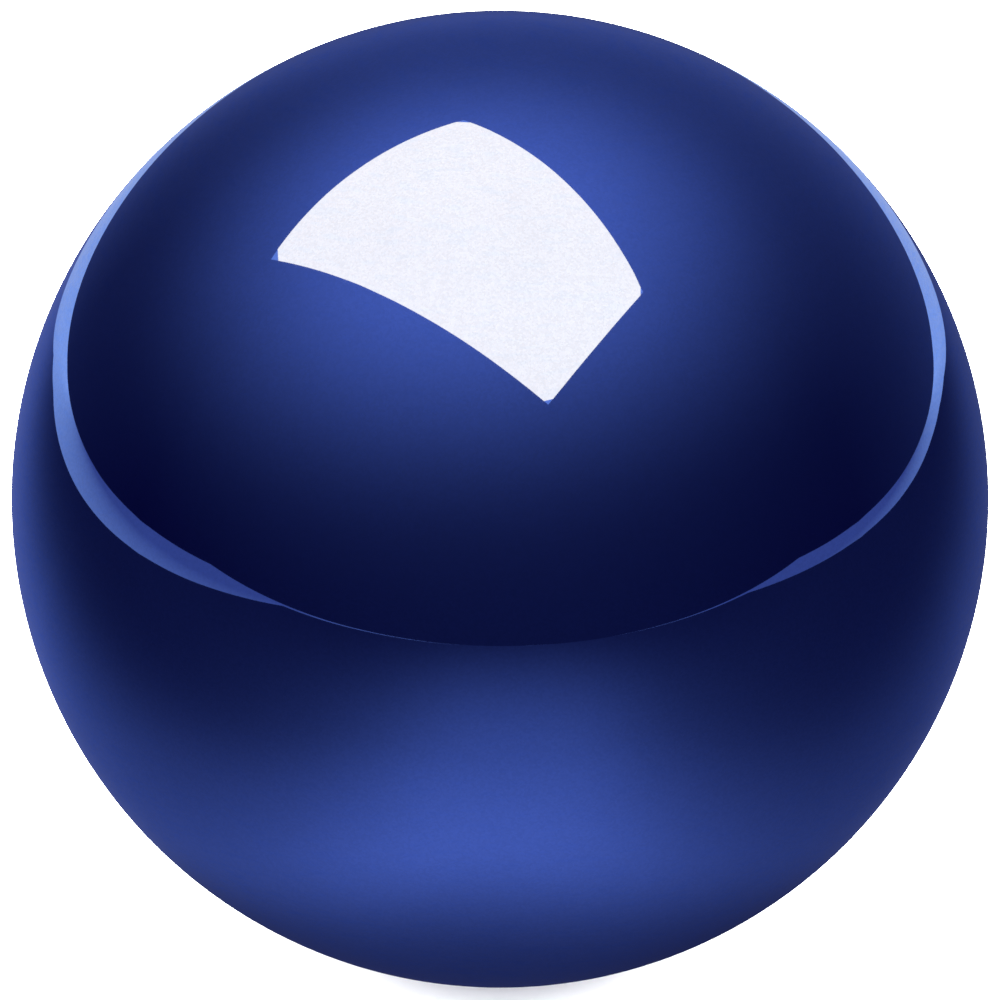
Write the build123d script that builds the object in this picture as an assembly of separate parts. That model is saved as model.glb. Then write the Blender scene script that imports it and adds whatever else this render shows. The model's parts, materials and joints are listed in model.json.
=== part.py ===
from build123d import *

import os

# A composite croquet ball, in millimetres, built up the way the real one is made: a pressed
# cork-and-resin core, a bonding layer, two moulded cups cemented together at the equator, and
# three coats of finish. Each layer fills the space up to the next, so the ball is solid through.
# The origin is the ball's centre. +Z runs up through the top pole, and the cups meet near z = 0.

INCH = 25.4

# Finished ball
ball_diameter = 3.625 * INCH

# Coats of finish
clear_thickness = 0.30
colour_thickness = 0.20
primer_thickness = 0.15

# Moulded shell, and the layer that bonds it to the core
shell_wall = 9.0
bond_thickness = 0.60

# Stepped joint between the cups: the upper cup's lip stands inside the lower cup's rim
cement_thickness = 0.30
lip_depth = 4.0
lip_share_of_wall = 0.5

# Stand-off pips inside each cup, which keep the core central while the bond sets
pip_diameter = 4.0
pips_in_ring = 3
pip_latitude = 35.0

# Outer radius of each layer, from the outside in
ball_radius = ball_diameter / 2
colour_radius = ball_radius - clear_thickness
primer_radius = colour_radius - colour_thickness
shell_radius = primer_radius - primer_thickness
bond_radius = shell_radius - shell_wall
core_radius = bond_radius - bond_thickness

# The step in the joint lies between the lip and the rim
step_radius = bond_radius + lip_share_of_wall * shell_wall


def layer(outer_radius, inner_radius):
    """A hollow sphere between two radii."""
    return Sphere(outer_radius) - Sphere(inner_radius)


def cup_zone(side):
    """The space on one side of the joint: side is +1 above the cement and -1 below it."""
    half_gap = side * cement_thickness / 2
    step = step_radius - half_gap
    outline = Polyline(
        (0, half_gap - lip_depth),
        (step, half_gap - lip_depth),
        (step, half_gap),
        (ball_radius, half_gap),
        (ball_radius, side * ball_radius),
        (0, side * ball_radius),
        close=True,
    )
    return revolve(Plane.XZ * make_face(outline), Axis.Z)


def pips(side):
    """One cup's stand-off pips: one at its pole, and a ring of them nearer the joint."""
    root_depth = bond_thickness / 2
    pip = Pos(0, 0, (core_radius + bond_radius) / 2) * Cylinder(
        pip_diameter / 2, bond_thickness + 2 * root_depth
    )
    at_pole = Rot(0, 90 - side * 90, 0) * pip
    in_ring = Rot(0, 90 - side * pip_latitude, 0) * pip
    return [at_pole] + [Rot(0, 0, index * 360 / pips_in_ring) * in_ring for index in range(pips_in_ring)]


def half_shell(side):
    """One moulded cup, with its half of the stepped joint and its pips."""
    cup = layer(shell_radius, bond_radius) & cup_zone(side)
    for pip in pips(side):
        cup += pip - Sphere(core_radius)
    return cup


def core_bond():
    """The resin between the core and the cups, with the pips standing in it."""
    bond = layer(bond_radius, core_radius)
    for pip in pips(+1) + pips(-1):
        bond -= pip
    return bond


def seam_cement():
    """The thin stepped ring of cement that joins the cups."""
    return layer(shell_radius, bond_radius) - cup_zone(+1) - cup_zone(-1)


parts = {
    "cork_resin_core": Sphere(core_radius),
    "core_bond": core_bond(),
    "lower_half_shell": half_shell(-1),
    "upper_half_shell": half_shell(+1),
    "seam_cement": seam_cement(),
    "primer_coat": layer(primer_radius, shell_radius),
    "pearl_colour_coat": layer(colour_radius, primer_radius),
    "clear_gloss_coat": layer(ball_radius, colour_radius),
}

os.makedirs("parts", exist_ok=True)
for name, shape in parts.items():
    export_step(shape, f"parts/{name}.step")
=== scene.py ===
import json
import math

import bmesh
import bpy
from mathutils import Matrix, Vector


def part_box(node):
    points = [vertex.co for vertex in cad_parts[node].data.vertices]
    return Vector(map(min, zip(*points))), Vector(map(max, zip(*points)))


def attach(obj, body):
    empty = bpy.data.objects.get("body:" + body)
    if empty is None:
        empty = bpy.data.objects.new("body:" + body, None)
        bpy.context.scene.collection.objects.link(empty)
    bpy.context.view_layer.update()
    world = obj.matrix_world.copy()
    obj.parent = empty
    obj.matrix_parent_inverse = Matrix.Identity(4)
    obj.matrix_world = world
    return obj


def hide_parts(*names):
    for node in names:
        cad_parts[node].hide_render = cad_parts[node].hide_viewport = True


# A glossy blue croquet ball in a small photo studio. Everything is in metres, in the frame of the
# CAD model: the origin is the ball's centre, +Z is up, and the camera looks along +Y and down.
# The finish is a mirror, so most of what shows on the ball is the studio around it. The pieces of
# the studio are laid out in ball radii.

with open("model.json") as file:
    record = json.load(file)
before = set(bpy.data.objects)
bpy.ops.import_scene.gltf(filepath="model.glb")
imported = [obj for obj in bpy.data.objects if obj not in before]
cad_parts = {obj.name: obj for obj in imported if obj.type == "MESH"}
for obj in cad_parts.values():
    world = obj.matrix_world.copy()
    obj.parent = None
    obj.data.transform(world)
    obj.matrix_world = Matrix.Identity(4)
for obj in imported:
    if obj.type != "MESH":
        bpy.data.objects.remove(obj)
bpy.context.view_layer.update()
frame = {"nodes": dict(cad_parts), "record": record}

MILLIMETRE = 0.001

# The ball
ball_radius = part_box("clear_gloss_coat")[1].z
facets_along_cube_edge = 64

# The pearl finish: the size of a flake, and how much of the polished surface is plain tinted gloss.
# The rest of it is a coated metal.
flake_size = 0.2 * MILLIMETRE
plain_gloss_share = 0.95

# The camera: how high it looks from, how far off it is, how much of the frame's width the ball fills,
# and how far the frame is shifted, which is a thousandth of its width
camera_elevation = math.radians(20)
camera_distance = 12 * ball_radius
ball_share_of_frame = 0.9774
frame_shift = -0.001

# Colours, linear: the pearl, its tint at a grazing angle, the faint light that fills the dark studio,
# the resin between the cork granules, and plain white
deep_blue = Vector((0.045, 0.092, 0.42))
edge_blue = Vector((0.36, 0.48, 0.95))
night_blue = Vector((0.008, 0, 0.047))
resin_brown = Vector((0.10, 0.055, 0.025))
white = Vector((1, 1, 1))
record_colour = {row["slot"]: Vector(row["base_color"][:3]) for row in frame["record"]["materials"]}


# Node trees

# A Mix node repeats its sockets for each type of data, so the colour ones go by number
mix_share, mix_first_colour, mix_second_colour, mixed_colour = 0, 6, 7, 2


def add(tree, kind, inputs=None, **settings):
    """Adds a node. An input is given a value, or a link when it is another node's output."""
    made = tree.nodes.new("ShaderNode" + kind)
    for name, value in settings.items():
        setattr(made, name, value)
    for name, value in (inputs or {}).items():
        if isinstance(value, bpy.types.NodeSocket):
            tree.links.new(value, made.inputs[name])
        else:
            made.inputs[name].default_value = value
    return made


def calc(tree, operation, *values):
    """The result of one math node."""
    return add(tree, "Math", dict(enumerate(values)), operation=operation).outputs["Value"]


def opaque(colour):
    """A colour with full alpha, as colour inputs want it."""
    return (*colour, 1)


def place(tree):
    """Where a point is, in metres in the ball's own frame."""
    return add(tree, "TexCoord").outputs["Object"]


def noise(tree, size, detail=3.0, stretch=(1, 1, 1)):
    """Soft noise from 0 to 1 whose patches are about `size` metres across."""
    stretched = add(tree, "Mapping", {"Vector": place(tree), "Scale": stretch}).outputs["Vector"]
    made = add(tree, "TexNoise", {"Vector": stretched, "Scale": 1 / size, "Detail": detail})
    return made.outputs["Fac"]


def cells(tree, size, output="Distance", feature="F1"):
    """Random cells about `size` metres across. Distance is 0 at a cell's middle, or at its edge."""
    made = add(tree, "TexVoronoi", {"Vector": place(tree), "Scale": 1 / size}, feature=feature)
    return made.outputs[output]


def shuffled(tree, size):
    """One random number from 0 to 1 for each cell."""
    return add(tree, "SeparateColor", {"Color": cells(tree, size, output="Color")}).outputs["Red"]


def rise(tree, value, start, end, lowest=0.0, highest=1.0):
    """Goes from lowest to highest as the value goes from start to end, and no further."""
    ends = {"From Min": start, "From Max": end, "To Min": lowest, "To Max": highest}
    return add(tree, "MapRange", {"Value": value, **ends}).outputs["Result"]


def between(tree, share, first, second):
    """A colour part of the way from the first to the second, which are colours or other outputs."""
    ends = [opaque(end) if isinstance(end, Vector) else end for end in (first, second)]
    inputs = {mix_share: share, mix_first_colour: ends[0], mix_second_colour: ends[1]}
    return add(tree, "Mix", inputs, data_type="RGBA").outputs[mixed_colour]


def relief(tree, height, depth):
    """The normal of a surface whose height runs over `depth` metres as `height` goes from 0 to 1."""
    return add(tree, "Bump", {"Height": height, "Distance": depth}).outputs["Normal"]


def principled(tree, **inputs):
    """A Principled shader. Each input's name is written with underscores for spaces."""
    named = {name.replace("_", " "): value for name, value in inputs.items()}
    return add(tree, "BsdfPrincipled", named).outputs["BSDF"]


def material(name, build):
    """A material whose surface shader is made by build(tree)."""
    made = bpy.data.materials.new(name)
    made.use_nodes = True
    tree = made.node_tree
    tree.nodes.clear()
    add(tree, "OutputMaterial", {"Surface": build(tree)})
    return made


# Finishes of the ball, from the outside in

def pearl(tree):
    """Pearl blue: each flake is a little lighter or darker, and the coat drifts slowly in tone."""
    flake = rise(tree, shuffled(tree, flake_size), 0, 1, 0.95, 1.05)
    drift = rise(tree, noise(tree, 9 * MILLIMETRE), 0, 1, 0.96, 1.04)
    brightness = calc(tree, "MULTIPLY", flake, drift)
    return add(tree, "VectorMath", {0: deep_blue, "Scale": brightness}, operation="SCALE").outputs[0]


def polished_pearl(tree):
    """Pearl blue under a polished clear coat. Its gloss keeps its blue right out to the ball's edge,
    with only a touch of white, so most of it is plain tinted gloss and the rest is a coated metal."""
    colour = pearl(tree)
    haze = rise(tree, noise(tree, 2.5 * MILLIMETRE, stretch=(1, 1, 6)), 0, 1, 0.01, 0.025)
    orange_peel = relief(tree, noise(tree, 5 * MILLIMETRE, detail=0), 0.002 * MILLIMETRE)
    coated_metal = principled(
        tree,
        Base_Color=colour,
        Metallic=1.0,
        Roughness=haze,
        Specular_Tint=opaque(edge_blue),
        Normal=orange_peel,
        Coat_Weight=0.2,
        Coat_Roughness=0.01,
        Coat_IOR=1.5,
        Coat_Normal=orange_peel,
    )
    gloss = add(tree, "BsdfAnisotropic", {"Color": colour, "Roughness": haze, "Normal": orange_peel})
    layers = {"Fac": plain_gloss_share, 1: coated_metal, 2: gloss.outputs["BSDF"]}
    return add(tree, "MixShader", layers).outputs["Shader"]


def pearl_coat(tree):
    """The pearl blue coat before it is polished: the same flake, satin."""
    flake_tilt = relief(tree, shuffled(tree, flake_size), 0.004 * MILLIMETRE)
    roughness = rise(tree, noise(tree, 1.5 * MILLIMETRE), 0, 1, 0.32, 0.44)
    return principled(tree, Base_Color=pearl(tree), Metallic=0.8, Roughness=roughness, Normal=flake_tilt)


def sanded_primer(tree):
    """Grey primer, dead matt, with fine sanding scratches that cross each other."""
    grey = record_colour["primer"]
    scratches = calc(
        tree,
        "MAXIMUM",
        noise(tree, 4 * MILLIMETRE, stretch=(30, 2, 1)),
        noise(tree, 4 * MILLIMETRE, stretch=(1, 3, 30)),
    )
    return principled(
        tree,
        Base_Color=between(tree, noise(tree, 6 * MILLIMETRE), grey * 0.93, grey * 1.05),
        Roughness=rise(tree, scratches, 0.3, 0.8, 0.7, 0.9),
        Normal=relief(tree, scratches, 0.01 * MILLIMETRE),
    )


def moulded_plastic(tree):
    """Natural-colour plastic: flow marks run from the poles, over a fine spark-eroded texture."""
    natural = record_colour["moulded_shell"]
    flow = noise(tree, 14 * MILLIMETRE, stretch=(5, 5, 1))
    texture = noise(tree, 0.4 * MILLIMETRE)
    return principled(
        tree,
        Base_Color=between(tree, flow, natural * 0.93, natural * 1.04),
        Roughness=rise(tree, texture, 0.3, 0.7, 0.38, 0.52),
        Normal=relief(tree, texture, 0.01 * MILLIMETRE),
    )


def set_cement(tree):
    """Dull, gritty cement."""
    dull = record_colour["seam_cement"]
    grit = noise(tree, 0.5 * MILLIMETRE, detail=6)
    return principled(
        tree,
        Base_Color=between(tree, grit, dull * 0.75, dull * 1.15),
        Roughness=rise(tree, grit, 0.3, 0.7, 0.75, 0.95),
        Normal=relief(tree, grit, 0.05 * MILLIMETRE),
    )


def amber_resin(tree):
    """Cured resin, streaked where it was spread, with small bubbles."""
    amber = record_colour["bonding_resin"]
    streaks = noise(tree, 8 * MILLIMETRE, stretch=(1, 1, 4))
    bubbles = rise(tree, cells(tree, 1.6 * MILLIMETRE), 0.12, 0.2)
    return principled(
        tree,
        Base_Color=between(tree, streaks, amber * 0.75, amber * 1.2),
        Roughness=rise(tree, streaks, 0.3, 0.7, 0.25, 0.4),
        Normal=relief(tree, bubbles, 0.05 * MILLIMETRE),
    )


def pressed_cork(tree):
    """Cork granules in many browns, pressed together, with dark resin in the gaps."""
    cork = record_colour["cork_composition"]
    granule_size = 2.4 * MILLIMETRE
    browns = between(tree, shuffled(tree, granule_size), cork * 0.55, cork * 1.5)
    mottle = rise(tree, noise(tree, 0.5 * MILLIMETRE, detail=5), 0.25, 0.5)
    mottled = between(tree, mottle, resin_brown, browns)
    granule = rise(tree, cells(tree, granule_size, feature="DISTANCE_TO_EDGE"), 0.02, 0.09)
    return principled(
        tree,
        Base_Color=between(tree, granule, resin_brown, mottled),
        Roughness=rise(tree, granule, 0, 1, 0.45, 0.9),
        Normal=relief(tree, granule, 0.15 * MILLIMETRE),
    )


def refinish(finish, *nodes):
    """Gives CAD nodes that keep their shape a better material."""
    for node in nodes:
        for slot in frame["nodes"][node].material_slots:
            slot.material = finish


refinish(material("pearl_coat", pearl_coat), "pearl_colour_coat")
refinish(material("sanded_primer", sanded_primer), "primer_coat")
refinish(material("moulded_plastic", moulded_plastic), "lower_half_shell", "upper_half_shell")
refinish(material("set_cement", set_cement), "seam_cement")
refinish(material("amber_resin", amber_resin), "core_bond")
refinish(material("pressed_cork", pressed_cork), "cork_resin_core")


# The polished outside of the ball

def mesh_from(name, shape):
    """Turns a bmesh into a mesh."""
    mesh = bpy.data.meshes.new(name)
    shape.to_mesh(mesh)
    shape.free()
    return mesh


def ball_mesh(name, radius):
    """A smooth ball of even four-sided facets: a cube, cut into a grid and pushed out to `radius`."""
    shape = bmesh.new()
    bmesh.ops.create_cube(shape, size=2)
    bmesh.ops.subdivide_edges(
        shape, edges=shape.edges[:], cuts=facets_along_cube_edge - 1, use_grid_fill=True
    )
    for vertex in shape.verts:
        # The tangent keeps the facets even, which would otherwise be small at the cube's corners
        even = Vector([math.tan(value * math.pi / 4) for value in vertex.co])
        vertex.co = even.normalized() * radius
    for facet in shape.faces:
        facet.smooth = True
    return mesh_from(name, shape)


def show(name, data, finish):
    """Puts a new object with that finish in the scene."""
    made = bpy.data.objects.new(name, data)
    made.data.materials.append(finish)
    bpy.context.scene.collection.objects.link(made)
    return made


surface = show(
    "polished_surface",
    ball_mesh("polished_surface", ball_radius),
    material("polished_pearl", polished_pearl),
)
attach(surface, "root")
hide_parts("clear_gloss_coat")


# Flat pieces of the studio. Outlines and places are in ball radii.

steps_along_side = 16


def side(start, end, bow):
    """Points along a side that bulges by `bow` to the right of its direction, as a parabola does.
    The end is left out, because the next side starts there."""
    along = end - start
    outward = Vector((along.y, -along.x)).normalized()
    shares = [step / steps_along_side for step in range(steps_along_side)]
    return [start + along * share + outward * bow * 4 * share * (1 - share) for share in shares]


def outline(corners):
    """A closed outline. Each corner is given as x, y and the bow of the side that starts there."""
    points = []
    for (x, y, bow), (next_x, next_y, _) in zip(corners, corners[1:] + corners[:1]):
        points += side(Vector((x, y)), Vector((next_x, next_y)), bow)
    return points


def rectangle(length, width):
    """The outline of a rectangle round the origin."""
    x, y = length / 2, width / 2
    return [(-x, -y), (x, -y), (x, y), (-x, y)]


def cut_rectangle(length, width, cut):
    """The outline of a rectangle round the origin with its corners cut off."""
    x, y = length / 2, width / 2
    return [
        (cut - x, -y), (x - cut, -y), (x, cut - y), (x, y - cut),
        (x - cut, y), (cut - x, y), (-x, y - cut), (-x, cut - y),
    ]


def flat_mesh(name, points):
    """A flat sheet with that outline."""
    shape = bmesh.new()
    shape.faces.new([shape.verts.new((x * ball_radius, y * ball_radius, 0)) for x, y in points])
    return mesh_from(name, shape)


def mirrored_only(name, points, light):
    """A flat, glowing piece of the studio that shows only in the ball's reflections."""
    made = show(name, flat_mesh(name, points), material(name, light))
    made.visible_camera = False
    made.visible_diffuse = False
    made.visible_transmission = False
    made.visible_shadow = False
    return made


def glow(tree, colour=white, strength=1.0):
    """Gives off light, on top of the faint blue that fills the whole studio. On the boards and the sheet
    this glow is painted light.
    """
    colour = opaque(colour) if isinstance(colour, Vector) else colour
    lamp = add(tree, "Emission", {"Color": colour, "Strength": strength}).outputs[0]
    ambient = add(tree, "Emission", {"Color": opaque(night_blue)}).outputs[0]
    return add(tree, "AddShader", {0: lamp, 1: ambient}).outputs[0]


def in_radii(tree):
    """Where a point of the studio is, in ball radii: x and y."""
    scaled = add(tree, "VectorMath", {0: place(tree), "Scale": 1 / ball_radius}, operation="SCALE")
    parts = add(tree, "SeparateXYZ", {0: scaled.outputs["Vector"]})
    return parts.outputs["X"], parts.outputs["Y"]


# The dark sheet that the ball stands on. It glows with painted light in two fans, one behind the ball
# and one in front, with a painted shadow of the ball between them. Its outline starts at the front left
# corner.
sheet_outline = outline([
    (-5.5, -5.2, 0.22), (7, -5, 0.42), (12.6, 2, 0.2), (15.9, 9, 0.15), (15.9, 12.5, 0.15),
    (12.9, 13.1, 0.42), (0, 5.9, 0), (-8.9, 11.1, 0.1), (-10.7, 10.2, 0.35), (-8.1, 0.2, 0.08),
])
sheet_thickness = 0.01
# The even painted glow of the whole sheet, under the fans
sheet_glow = 0.058

# The painted fan of light behind the ball: its brightness on the left and on the right, and how far out
# from the middle the blend between them reaches. It starts at its tip and is full further back. Its half
# width is measured level with the ball's centre, and grows by the widening for each radius backwards.
back_fan_left, back_fan_right = 0.75, 0.38
back_fan_blend = 1.5
back_fan_tip, back_fan_full = -1.9, 1.25
back_fan_half_width = 1.84
back_fan_widening = 0.57
back_fan_sharpness = 4.9

# The painted fan of light in front of the ball: it fades over its length, away from its middle. It is
# full from there to a little behind the ball's centre, and ends further back. It widens, and drifts,
# towards the camera.
front_fan_peak = 0.94
front_fan_middle = Vector((-0.07, -0.5))
front_fan_length = 1.39
front_fan_end, front_fan_full = 1.2, 0.2
front_fan_half_width = 0.51
front_fan_widening = 0.27
front_fan_drift = -0.085
front_fan_sharpness = 2.8

# The ball's painted shadow on the sheet: how much of the painted light it takes, where its middle is
# along Y, and its reach in X and in Y
ball_shadow_depth = 0.9
ball_shadow_middle = 0.1
ball_shadow_reach = Vector((0.77, 1.07))
ball_shadow_sharpness = 3


def fan_across(tree, sideways, half_width, widening, along, sharpness):
    """How bright a fan is across its width: 1 on its centre line, 0.5 at its edge."""
    width = calc(tree, "MAXIMUM", calc(tree, "MULTIPLY_ADD", along, widening, half_width), 0)
    inside = calc(tree, "POWER", width, sharpness)
    outside = calc(tree, "POWER", calc(tree, "ABSOLUTE", sideways), sharpness)
    return calc(tree, "DIVIDE", inside, calc(tree, "ADD", inside, outside))


def painted_back_light(tree, x, y):
    """Painted light behind the ball, brighter on the left. It starts at a tip in front and widens
    backwards.
    """
    peak = rise(tree, x, -back_fan_blend, back_fan_blend, back_fan_left, back_fan_right)
    reached = calc(tree, "MULTIPLY", peak, rise(tree, y, back_fan_tip, back_fan_full))
    across = fan_across(tree, x, back_fan_half_width, back_fan_widening, y, back_fan_sharpness)
    return calc(tree, "MULTIPLY", reached, across)


def painted_front_light(tree, x, y):
    """Painted light in front of the ball. It widens, and fades, towards the camera."""
    away = calc(tree, "SUBTRACT", y, front_fan_middle.y)
    reaches = calc(tree, "POWER", calc(tree, "DIVIDE", away, front_fan_length), 2)
    distance = calc(tree, "SQRT", calc(tree, "ADD", reaches, 1))
    fading = calc(tree, "EXPONENT", calc(tree, "SUBTRACT", 1, distance))
    centre_line = calc(tree, "MULTIPLY_ADD", away, front_fan_drift, front_fan_middle.x)
    across = fan_across(
        tree,
        calc(tree, "SUBTRACT", x, centre_line),
        front_fan_half_width,
        -front_fan_widening,
        away,
        front_fan_sharpness,
    )
    peak = rise(tree, y, front_fan_end, front_fan_full, 0, front_fan_peak)
    return calc(tree, "MULTIPLY", calc(tree, "MULTIPLY", fading, across), peak)


def painted_ball_shadow(tree, x, y):
    """How much of the painted light on the sheet the ball's painted shadow takes away: nearly all of it
    under the ball.
    """
    across = calc(tree, "POWER", calc(tree, "DIVIDE", x, ball_shadow_reach.x), 2)
    along = calc(tree, "DIVIDE", calc(tree, "SUBTRACT", y, ball_shadow_middle), ball_shadow_reach.y)
    distance = calc(tree, "ADD", across, calc(tree, "POWER", along, 2))
    faded = calc(tree, "POWER", distance, ball_shadow_sharpness)
    shadow = calc(tree, "EXPONENT", calc(tree, "MULTIPLY", faded, -1))
    return calc(tree, "MULTIPLY", shadow, ball_shadow_depth)


def dark_sheet_painted_light(tree):
    """The dark sheet's painted glow, with both painted fans of light and the ball's painted shadow."""
    x, y = in_radii(tree)
    fans = calc(tree, "ADD", painted_back_light(tree, x, y), painted_front_light(tree, x, y))
    lit = calc(tree, "SUBTRACT", 1, painted_ball_shadow(tree, x, y))
    return glow(tree, strength=calc(tree, "MULTIPLY_ADD", fans, lit, sheet_glow))


# Two white boards under the sheet. They reach far out past it on both sides and at the back, and a
# thin strip of each shows in front. Both outlines start at the front left corner. The boards glow with
# painted light, which is warm. It is strongest at the back and close to the middle of the studio.
left_board_outline = outline([
    (-12.4, -5.42, 0.04), (-0.5, -5.37, 0), (-0.5, 7.5, 11), (-52, 50, 3.9), (-26.8, 6.3, 0.7),
])
right_board_outline = outline([
    (0.5, -5.37, -0.08), (13.9, -5.3, 0.4), (25.6, 6, 4.2), (42, 47, 9), (0.5, 7.5, 0),
])
board_front, board_front_light = -9.4, Vector((0.55, 0.52, 0.53))
board_back, board_back_light = 7.3, Vector((3.3, 3.1, 1.9))
board_sideways_loss = 0.67


def white_board_painted_light(tree):
    """A board glowing with painted light. Going sideways dims it as much as coming forward by a set
    share of the way.
    """
    x, y = in_radii(tree)
    lit_from = calc(tree, "MULTIPLY_ADD", calc(tree, "ABSOLUTE", x), -board_sideways_loss, y)
    share = rise(tree, lit_from, board_front, board_back)
    return glow(tree, colour=between(tree, share, board_front_light, board_back_light))


# The softbox overhead. Its lit face has cut corners, and its backing shows dimmer behind them. The
# face is warm enough for the blue finish to mirror it as a near-white.
softbox_place = Vector((0.32, -1.4, 6.87)) * ball_radius
softbox_turn = tuple(math.radians(angle) for angle in (34, -3.9, -48))
softbox_length, softbox_width = 8.9, 6.04
softbox_cut_corner = 0.25
softbox_backing_gap = 0.001
softbox_face_light = Vector((18.0, 9.4, 2.35))
softbox_backing_light = Vector((2.0, 2.0, 1.6))


def softbox_face(tree):
    """The lit face."""
    return glow(tree, colour=softbox_face_light)


def softbox_backing(tree):
    """The dimmer backing."""
    return glow(tree, colour=softbox_backing_light)


def hang(piece, behind=0.0):
    """Hangs a flat piece where the softbox is, or behind it by a share of its distance."""
    piece.location = softbox_place * (1 + behind)
    piece.rotation_euler = softbox_turn


floor_height = -ball_radius
sheet_height = floor_height + sheet_thickness * ball_radius

# The boards and the sheet glow with painted light, which only reflections see.
mirrored_only("white_board_painted_light.left", left_board_outline, white_board_painted_light).location.z = floor_height
mirrored_only("white_board_painted_light.right", right_board_outline, white_board_painted_light).location.z = floor_height
mirrored_only("dark_sheet_painted_light", sheet_outline, dark_sheet_painted_light).location.z = sheet_height

face = cut_rectangle(softbox_length, softbox_width, softbox_cut_corner)
backing = rectangle(softbox_length, softbox_width)
hang(mirrored_only("softbox", face, softbox_face))
hang(mirrored_only("softbox_backing", backing, softbox_backing), behind=softbox_backing_gap)


# What lights the floor: the softbox again, as a lamp. Its power is in watts.
key_power = 0.6

key = bpy.data.lights.new("key", "AREA")
key.shape = "RECTANGLE"
key.size = softbox_length * ball_radius
key.size_y = softbox_width * ball_radius
key.energy = key_power
key_light = bpy.data.objects.new("key", key)
hang(key_light)
key_light.visible_glossy = False
key_light.visible_camera = False
bpy.context.scene.collection.objects.link(key_light)


# The floor that the camera sees, which is far wider than the frame. Its side is in ball radii.
floor_side = 120


def pale_floor(tree):
    """Pale matt paper, faintly uneven."""
    tone = noise(tree, 30 * MILLIMETRE)
    return principled(
        tree,
        Base_Color=between(tree, tone, white * 0.88, white * 0.93),
        Roughness=rise(tree, tone, 0, 1, 0.75, 0.9),
        Normal=relief(tree, noise(tree, 1 * MILLIMETRE), 0.02 * MILLIMETRE),
    )


floor_mesh = flat_mesh("floor", rectangle(floor_side, floor_side))
floor = show("floor", floor_mesh, material("pale_floor", pale_floor))
floor.location.z = floor_height
floor.visible_glossy = False


# The room: pale to the camera and as light on the floor, but dark with soft glows in reflections. One
# glow is overhead and one behind the ball. The camera's side has a faint fill. Angles are in degrees.
# Azimuth 0 is towards the camera, and 90 is to its right.
overhead_glow = {"azimuth": -47, "elevation": 83, "reach": 46.6, "sharpness": 2.64, "peak": 1.11}
rear_glow = {"azimuth": 180, "elevation": 2.7, "reach": 38.4, "sharpness": 1.34, "peak": 0.61}

# The rear glow is dimmer on the left. This is how much of it is left there, and where it starts to
# brighten and is full again, as the X of a direction.
rear_glow_left_share = 0.5
rear_glow_dim_to, rear_glow_full_from = -0.7, -0.2

front_fill = 0.059
pale_room = 9.0


def towards(azimuth, elevation):
    """A direction, from its two angles in degrees."""
    azimuth, elevation = math.radians(azimuth), math.radians(elevation)
    level = math.cos(elevation)
    return Vector((math.sin(azimuth) * level, -math.cos(azimuth) * level, math.sin(elevation)))


def soft_glow(tree, direction, azimuth, elevation, reach, sharpness, peak):
    """A round glow on the walls or ceiling, which fades over `reach` degrees."""
    centre = towards(azimuth, elevation)
    cosine = add(tree, "VectorMath", {0: direction, 1: centre}, operation="DOT_PRODUCT").outputs["Value"]
    away = calc(tree, "DIVIDE", calc(tree, "ARCCOSINE", cosine), math.radians(reach))
    faded = calc(tree, "EXPONENT", calc(tree, "MULTIPLY", calc(tree, "POWER", away, sharpness), -1))
    return calc(tree, "MULTIPLY", faded, peak)


def background(tree, colour, strength=1.0):
    """Light from all round."""
    return add(tree, "Background", {"Color": opaque(colour), "Strength": strength}).outputs["Background"]


def room():
    """The world. Reflections see the dark room with its glows, and everything else sees a pale one."""
    world = bpy.data.worlds.new("room")
    world.use_nodes = True
    tree = world.node_tree
    tree.nodes.clear()

    direction = add(tree, "TexCoord").outputs["Generated"]
    parts = add(tree, "SeparateXYZ", {0: direction}).outputs
    overhead = soft_glow(tree, direction, **overhead_glow)
    dimming = rise(tree, parts["X"], rear_glow_dim_to, rear_glow_full_from, rear_glow_left_share, 1)
    rear = calc(tree, "MULTIPLY", soft_glow(tree, direction, **rear_glow), dimming)
    front = rise(tree, parts["Y"], 0, -1, 0, front_fill)
    glows = background(tree, white, calc(tree, "ADD", calc(tree, "ADD", overhead, rear), front))

    mirrored = add(tree, "AddShader", {0: glows, 1: background(tree, night_blue)}).outputs[0]
    is_mirrored = add(tree, "LightPath").outputs["Is Glossy Ray"]
    choices = {"Fac": is_mirrored, 1: background(tree, white, pale_room), 2: mirrored}
    add(tree, "OutputWorld", {"Surface": add(tree, "MixShader", choices).outputs[0]})
    bpy.context.scene.world = world


room()
bpy.context.scene.view_settings.view_transform = "Standard"


# The camera

camera = bpy.data.objects.new("camera", bpy.data.cameras.new("camera"))
camera_direction = Vector((0, -math.cos(camera_elevation), math.sin(camera_elevation)))
camera.location = camera_direction * camera_distance
camera.rotation_euler = camera_direction.to_track_quat("Z", "Y").to_euler()
ball_half_angle = math.asin(ball_radius / camera_distance)
camera.data.lens = camera.data.sensor_width * ball_share_of_frame / 2 / math.tan(ball_half_angle)
camera.data.shift_y = frame_shift
bpy.context.scene.collection.objects.link(camera)
bpy.context.scene.camera = camera
